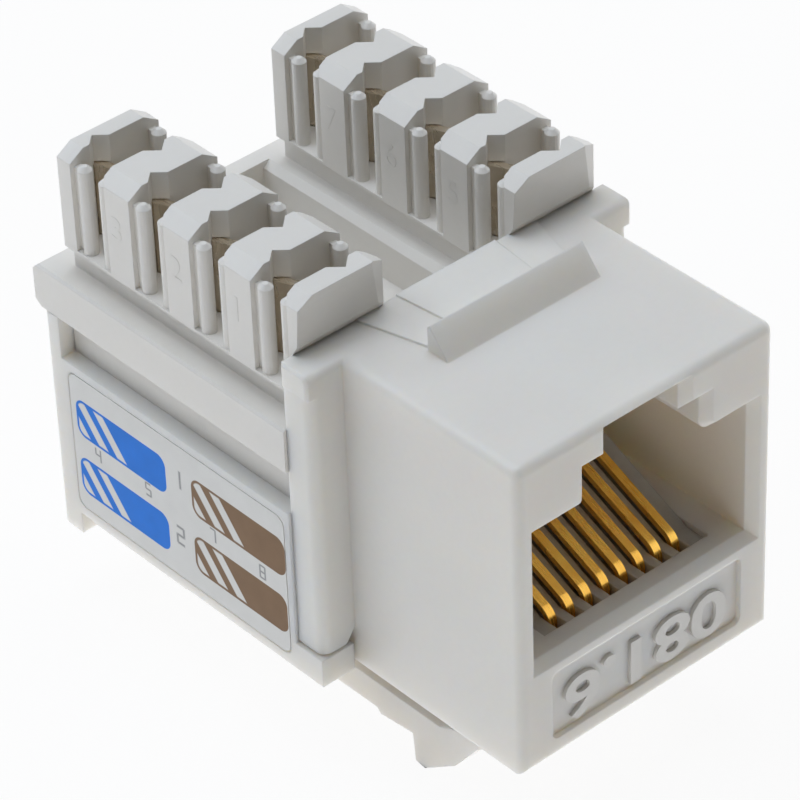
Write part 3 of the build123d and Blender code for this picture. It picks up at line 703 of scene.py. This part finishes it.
class Mesher:
    """Makes meshes, paints them and hangs them on the jack.

    Attributes:
        FIGURE_SHARE: Height of a figure in shares of the font's size.
        CURVE_STEPS: Straight steps in each curve of a figure.
        MERGE: Distance within which points become one, in metres.
    """

    FIGURE_SHARE = 0.7
    CURVE_STEPS = 6
    MERGE = 1e-7

    @staticmethod
    def paint(obj: bpy.types.Object, material: bpy.types.Material) -> None:
        """Gives an object one finish.

        Args:
            obj: The object.
            material: Its finish.
        """
        obj.data.materials.clear()
        obj.data.materials.append(material)

    @staticmethod
    def piece(name: str, mesh: bpy.types.Mesh, material: bpy.types.Material, slot: str) -> bpy.types.Object:
        """Links a mesh to the scene as a piece of the jack.

        Args:
            name: The piece's name.
            mesh: Its mesh, in the jack's frame.
            material: Its finish.
            slot: Not used.

        Returns:
            The object.
        """
        obj = bpy.data.objects.new(name, mesh)
        bpy.context.scene.collection.objects.link(obj)
        Mesher.paint(obj, material)
        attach(obj, ROOT_BODY)
        return obj

    @staticmethod
    def figures(
        text: str, height: float, depth: float, place: Matrix, width: float = 0.0, weight: float = 0.0
    ) -> bpy.types.Mesh:
        """Raised plain figures as one mesh.

        Args:
            text: Digits and points.
            height: Height of a figure.
            depth: How far the figures stand out.
            place: Their place; figures lie in its XY plane, centred, and stand out along Z.
            width: Width that the whole text is drawn out to, or 0 for its own.
            weight: How far the outline is moved outwards.

        Returns:
            The mesh.
        """
        curve = bpy.data.curves.new("figures", "FONT")
        curve.body = text
        curve.size = height / Mesher.FIGURE_SHARE
        curve.extrude = depth / 2
        curve.offset = weight
        curve.align_x = "CENTER"
        curve.align_y = "CENTER"
        curve.resolution_u = Mesher.CURVE_STEPS
        holder = bpy.data.objects.new("figures", curve)
        bpy.context.scene.collection.objects.link(holder)
        bpy.context.view_layer.update()
        mesh = bpy.data.meshes.new_from_object(holder)
        bpy.data.objects.remove(holder)
        bpy.data.curves.remove(curve)
        spans = [[v.co[axis] for v in mesh.vertices] for axis in (0, 1)]
        middle = [(max(span) + min(span)) / 2 for span in spans]
        stretch = width / (max(spans[0]) - min(spans[0])) if width else 1.0
        level = height / (max(spans[1]) - min(spans[1]))
        centred = Matrix.Translation((-middle[0], -middle[1], depth / 2))
        mesh.transform(place @ Matrix.Diagonal((stretch, level, 1.0, 1.0)) @ centred)
        return mesh

    @staticmethod
    def joined(meshes: list[bpy.types.Mesh], name: str) -> bpy.types.Mesh:
        """Joins meshes into one.

        Args:
            meshes: The meshes, which are used up.
            name: Name of the result.

        Returns:
            The joined mesh.
        """
        whole = bmesh.new()
        for mesh in meshes:
            whole.from_mesh(mesh)
            bpy.data.meshes.remove(mesh)
        bmesh.ops.remove_doubles(whole, verts=whole.verts, dist=Mesher.MERGE)
        bmesh.ops.recalc_face_normals(whole, faces=whole.faces)
        result = bpy.data.meshes.new(name)
        whole.to_mesh(result)
        whole.free()
        return result


@dataclass
class FrontHousing:
    """Square front with the stepped socket and the raised figures below it.

    Attributes:
        figures: Plain figures moulded in the front panel.
        figure_height: Their height.
        figure_width: Width of the row of figures.
        figure_weight: How far their outline is moved outwards.
        figure_depth: How far they stand out of the panel's floor.
        panel_z: Height of the panel's middle.
        panel_y: Depth of the panel's floor.
    """

    figures: str = "081.6"
    figure_height: float = 2.35 * MM
    figure_width: float = 9.4 * MM
    figure_weight: float = 0.07 * MM
    figure_depth: float = 0.18 * MM
    panel_z: float = 2.42 * MM
    panel_y: float = 0.25 * MM

    def finish(self) -> bpy.types.Material:
        """The housing's finish.

        Returns:
            The material.
        """
        return MouldedPlastic("housing_white", WHITE, 0.38, shade=WHITE_SHADE).build()

    def figure_finish(self) -> bpy.types.Material:
        """The same plastic with the sharper edges of the figures.

        Returns:
            The material.
        """
        return MouldedPlastic(
            "figures_white", WHITE, 0.38, shade=WHITE_SHADE, edge_radius=0.03 * MM, inner_glow=0.05
        ).build()

    def dress(self, nodes: dict[str, bpy.types.Object]) -> None:
        """Gives the housing and the latch their finish and adds the figures.

        Args:
            nodes: The CAD nodes by name.
        """
        material = self.finish()
        for name in ("front_housing", "latch_arm"):
            Mesher.paint(nodes[name], material)
        turn = Matrix.Rotation(math.pi, 4, "Y") @ Matrix.Rotation(math.radians(90), 4, "X")
        place = Matrix.Translation((0, self.panel_y, self.panel_z)) @ turn
        mesh = Mesher.figures(
            self.figures, self.figure_height, self.figure_depth, place, self.figure_width, self.figure_weight
        )
        Mesher.piece("front_figures", mesh, self.figure_finish(), "housing_plastic")


@dataclass
class ContactSet:
    """The spring contacts in their comb."""

    def dress(self, nodes: dict[str, bpy.types.Object]) -> None:
        """Gives the wires and the comb their finishes.

        Args:
            nodes: The CAD nodes by name.
        """
        gold = PlatedMetal("contact_gold", (1.0, 0.60, 0.12), 0.26, 1.0, tarnish=(0.78, 0.38, 0.06)).build()
        comb = MouldedPlastic("comb_plastic", (0.60, 0.56, 0.50), 0.45, shade=(0.5, 0.46, 0.41)).build()
        for name, obj in nodes.items():
            if name.startswith("contact_"):
                Mesher.paint(obj, comb if name == "contact_carrier" else gold)


@dataclass
class TerminalBlock:
    """Rim, trough and the two rows of towers with their numbered faces.

    Attributes:
        tower_faces: X of the outward face of each row.
        tower_pitch: Distance from tower to tower.
        first_tower_y: Middle of the first full tower's face.
        full_towers: Full towers in a row.
        wires_per_row: Wire slots in a row.
        figure_z: Height of the figures' middle.
        figure_height: Height of a figure.
        figure_depth: How far it stands out.
    """

    tower_faces: tuple[float, float] = (-8.46 * MM, 3.57 * MM)
    tower_pitch: float = 3.95 * MM
    first_tower_y: float = 15.63 * MM
    full_towers: int = 3
    wires_per_row: int = 4
    figure_z: float = 16.6 * MM
    figure_height: float = 1.2 * MM
    figure_depth: float = 0.012 * MM

    def dress(self, nodes: dict[str, bpy.types.Object]) -> None:
        """Gives the block and the blades their finishes and adds the figures.

        Args:
            nodes: The CAD nodes by name.
        """
        # The CAD wall behind the last slot of each row is only 0.007 mm thick, which is a fault in the CAD.
        # With the wider soft edge and stronger inner glow of the other mouldings it shows from behind as a
        # dark line. Both are smaller here only to weaken that line, and a faint one is still left.
        white = MouldedPlastic(
            "block_white", WHITE, 0.42, shade=WHITE_SHADE, edge_radius=0.05 * MM, inner_glow=0.1
        ).build()
        tin = PlatedMetal("blade_tin", (0.78, 0.72, 0.62), 0.28, 1.0, tarnish=(0.60, 0.50, 0.37)).build()
        Mesher.paint(nodes["idc_block"], white)
        for name, obj in nodes.items():
            if name.startswith("idc_terminal_"):
                Mesher.paint(obj, tin)
        upright = Matrix.Rotation(math.radians(-90), 4, "Z") @ Matrix.Rotation(math.radians(90), 4, "X")
        marks = []
        for row, face_x in enumerate(self.tower_faces):
            for index in range(self.full_towers):
                y = self.first_tower_y + index * self.tower_pitch
                place = Matrix.Translation((face_x, y, self.figure_z)) @ upright
                figure = str(self.wires_per_row * row + index + 1)
                marks.append(Mesher.figures(figure, self.figure_height, self.figure_depth, place))
        faint = MouldedPlastic(
            "tower_figures_white", WHITE, 0.42, shade=WHITE_SHADE, edge_radius=0.004 * MM, inner_glow=0.05
        ).build()
        Mesher.piece("tower_figures", Mesher.joined(marks, "tower_figures"), faint, "block_plastic")


@dataclass
class LowerCasing:
    """Lower tray with its board and printed side labels."""

    left_fields: tuple[FieldSpec, ...] = (
        FieldSpec(Wire.BLUE, 23.55, 5.4),
        FieldSpec(Wire.BLUE, 23.6, 2.15),
        FieldSpec(Wire.BROWN, 15.6, 5.42),
        FieldSpec(Wire.BROWN, 15.65, 2.25),
    )
    right_fields: tuple[FieldSpec, ...] = (
        FieldSpec(Wire.ORANGE, 23.55, 5.4),
        FieldSpec(Wire.GREEN, 23.6, 2.15),
        FieldSpec(Wire.GREEN, 15.6, 5.42),
        FieldSpec(Wire.ORANGE, 15.65, 2.25),
    )
    left_marks: tuple[MarkSpec, ...] = (
        MarkSpec(1, 19.7, 5.78, 1.05),
        MarkSpec(2, 19.7, 2.56, 1.05),
        MarkSpec(4, 25.3, 3.88),
        MarkSpec(5, 21.8, 3.95),
        MarkSpec(7, 17.4, 3.95),
        MarkSpec(8, 14.1, 3.83),
    )
    right_marks: tuple[MarkSpec, ...] = (
        MarkSpec(1, 19.7, 5.78, 1.05),
        MarkSpec(2, 19.7, 2.56, 1.05),
        MarkSpec(1, 25.3, 3.88),
        MarkSpec(2, 21.8, 3.95),
        MarkSpec(3, 17.4, 3.95),
        MarkSpec(6, 14.1, 3.83),
    )

    def dress(self, nodes: dict[str, bpy.types.Object]) -> None:
        """Gives the casing, the board and the labels their finishes.

        Args:
            nodes: The CAD nodes by name.
        """
        finishes = {
            "lower_casing": MouldedPlastic("casing_white", WHITE, 0.42, shade=WHITE_SHADE),
            "circuit_board": BoardMask("board_green", (0.02, 0.16, 0.06), 0.35),
        }
        labels = (
            (Side.LEFT, self.left_fields, self.left_marks),
            (Side.RIGHT, self.right_fields, self.right_marks),
        )
        for side, fields, marks in labels:
            name = f"label_{side.name.lower()}"
            finishes[name] = LabelPrint(
                f"{name}_print", LABEL_WHITE, 0.35, side=side, fields=fields, marks=marks
            )
        for name, finish in finishes.items():
            Mesher.paint(nodes[name], finish.build())


@dataclass(frozen=True)
class SoftBox:
    """One area lamp.

    Attributes:
        name: Its name.
        place: Where it stands, in metres.
        aim: The point it faces, in metres.
        size: Its side.
        power: Its power in watts.
        colour: Its colour.
    """

    name: str
    place: tuple[float, float, float]
    aim: tuple[float, float, float]
    size: float
    power: float
    colour: RGB = PURE_WHITE

    def light(self) -> None:
        """Puts the lamp in the scene, unseen by the camera itself."""
        data = bpy.data.lights.new(self.name, "AREA")
        data.shape = "SQUARE"
        data.size = self.size
        data.energy = self.power
        data.color = self.colour
        lamp = bpy.data.objects.new(self.name, data)
        bpy.context.scene.collection.objects.link(lamp)
        lamp.visible_camera = False
        lamp.location = self.place
        lamp.rotation_mode = "QUATERNION"
        lamp.rotation_quaternion = (Vector(self.aim) - Vector(self.place)).to_track_quat("-Z", "Y")


@dataclass
class Studio:
    """Pale floor, world light, soft boxes and the camera.

    Attributes:
        floor_z: Height of the floor.
        floor_half: Half the floor's side.
        floor_glow: Share of plain white in the floor that is seen; the rest shows the shadow.
        floor_tones: Grey levels of the floor's faint clouds.
        floor_clouds: Clouds of the floor per metre.
        target: The point the camera turns about.
        azimuth: Camera azimuth in degrees, 0 looking along +Y.
        elevation: Camera elevation in degrees.
        roll: Camera roll in degrees.
        distance: Camera distance along its view axis.
        offset: How far the camera is moved across its view, right and up.
        lens: Focal length in millimetres.
        sensor: Width of the camera's sensor in millimetres.
        clip: Nearest and farthest distance that the camera sees, in metres.
        world_level: Strength of the world light.
        boxes: The soft boxes.
    """

    floor_z: float = -5.12 * MM
    floor_half: float = 3.0
    floor_glow: float = 0.93
    floor_tones: tuple[float, float] = (0.88, 0.93)
    floor_clouds: float = 6.0
    target: tuple[float, float, float] = CENTRE
    azimuth: float = -40.41
    elevation: float = 37.32
    roll: float = -2.32
    distance: float = 189.42 * MM
    offset: tuple[float, float] = (-3.55 * MM, 1.14 * MM)
    lens: float = 200.55
    sensor: float = 36.0
    clip: tuple[float, float] = (0.01, 20.0)
    world_level: float = 0.02
    boxes: tuple[SoftBox, ...] = field(
        default_factory=lambda: (
            SoftBox("key", (-0.245, 0.163, 0.355), CENTRE, 0.25, 0.41, (0.80, 0.88, 1.0)),
            SoftBox("rear", (-0.12, 0.36, 0.30), CENTRE, 0.25, 0.45, (0.84, 0.91, 1.0)),
            SoftBox("overhead", (0.04, 0.06, 0.47), CENTRE, 0.30, 1.18, (0.86, 0.92, 1.0)),
            SoftBox("right_fill", (0.45, 0.02, 0.15), CENTRE, 0.30, 0.42, (0.92, 0.95, 1.0)),
            SoftBox("table", (0.0, 0.0, -0.005), (0.0, 0.0, 1.0), 0.50, 0.355, (1.0, 0.985, 0.97)),
        )
    )

    def build(self) -> None:
        """Builds the floor, the lights and the camera."""
        self._floor()
        self._world()
        for box in self.boxes:
            box.light()
        self._camera()
        bpy.context.scene.view_settings.view_transform = "Standard"

    def _floor(self) -> None:
        """Wide pale floor that the camera sees as white away from the shadow."""
        sheet_mesh = bpy.data.meshes.new("floor")
        grid = bmesh.new()
        bmesh.ops.create_grid(grid, x_segments=8, y_segments=8, size=self.floor_half)
        bmesh.ops.translate(grid, verts=grid.verts, vec=(0, 0, self.floor_z))
        grid.to_mesh(sheet_mesh)
        grid.free()
        floor = bpy.data.objects.new("floor", sheet_mesh)
        bpy.context.scene.collection.objects.link(floor)
        material, s, shader, coords = Finish("floor_white", PURE_WHITE, 0.9).start()
        out = next(n for n in material.node_tree.nodes if n.type == "OUTPUT_MATERIAL")
        darker, lighter = (rgba((tone, tone, tone)) for tone in self.floor_tones)
        tone = s.mix(s.noise(coords, self.floor_clouds), darker, lighter)
        s.link(tone, shader.inputs["Base Color"])
        glow = s.add("ShaderNodeEmission")
        glow.inputs["Color"].default_value = rgba(PURE_WHITE)
        glow.inputs["Strength"].default_value = 1.0
        mix = s.add("ShaderNodeMixShader")
        seen = self._seen(s)
        s.link(s.math("MULTIPLY", seen, self.floor_glow), mix.inputs[0])
        s.link(shader.outputs[0], mix.inputs[1])
        s.link(glow.outputs[0], mix.inputs[2])
        s.link(mix.outputs[0], out.inputs["Surface"])
        sheet_mesh.materials.append(material)

    def _world(self) -> None:
        """Soft white world: plain white to the camera, gentler as light."""
        world = bpy.data.worlds.new("studio")
        bpy.context.scene.world = world
        world.use_nodes = True
        s = NodeSheet(world.node_tree)
        back = next(n for n in world.node_tree.nodes if n.type == "BACKGROUND")
        seen = self._seen(s)
        back.inputs["Color"].default_value = rgba(PURE_WHITE)
        level = s.math("MULTIPLY_ADD", seen, 1.0 - self.world_level, self.world_level)
        s.link(level, back.inputs["Strength"])

    @staticmethod
    def _seen(s: NodeSheet) -> bpy.types.NodeSocket:
        """Adds a mask of the rays that see the background as plain white.

        Args:
            s: The node tree's short-hand.

        Returns:
            1 for camera, glossy and transmission rays, 0 for the rest.
        """
        path = s.add("ShaderNodeLightPath")
        direct = s.math("MAXIMUM", path.outputs["Is Camera Ray"], path.outputs["Is Transmission Ray"])
        return s.math("MAXIMUM", direct, path.outputs["Is Glossy Ray"])

    def _camera(self) -> None:
        """Camera at the studied angle."""
        azimuth, elevation, roll = (math.radians(v) for v in (self.azimuth, self.elevation, self.roll))
        flat = math.cos(elevation)
        back = Vector((math.sin(azimuth) * flat, -math.cos(azimuth) * flat, math.sin(elevation)))
        level = Vector((math.cos(azimuth), math.sin(azimuth), 0.0))
        upright = back.cross(level)
        right = math.cos(roll) * level + math.sin(roll) * upright
        up = -math.sin(roll) * level + math.cos(roll) * upright
        place = Vector(self.target) + right * self.offset[0] + up * self.offset[1] + back * self.distance
        data = bpy.data.cameras.new("camera")
        data.lens = self.lens
        data.sensor_width = self.sensor
        data.clip_start, data.clip_end = self.clip
        camera = bpy.data.objects.new("camera", data)
        bpy.context.scene.collection.objects.link(camera)
        turn = Matrix((right, up, back)).transposed().to_4x4()
        camera.matrix_world = Matrix.Translation(place) @ turn
        bpy.context.scene.camera = camera


@dataclass
class KeystoneJack:
    """The whole jack: its sub-assemblies in their order from front to rear."""

    front: FrontHousing = field(default_factory=FrontHousing)
    contacts: ContactSet = field(default_factory=ContactSet)
    block: TerminalBlock = field(default_factory=TerminalBlock)
    casing: LowerCasing = field(default_factory=LowerCasing)

    def dress(self, nodes: dict[str, bpy.types.Object]) -> None:
        """Dresses every sub-assembly.

        Args:
            nodes: The CAD nodes by name.
        """
        for part in (self.front, self.contacts, self.block, self.casing):
            part.dress(nodes)
            LOG.info("dressed %s", type(part).__name__)


def main() -> None:
    """Builds the scene."""
    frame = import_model()
    KeystoneJack().dress(frame["nodes"])
    Studio().build()
    bpy.context.view_layer.update()


if __name__ == "__main__":
    main()
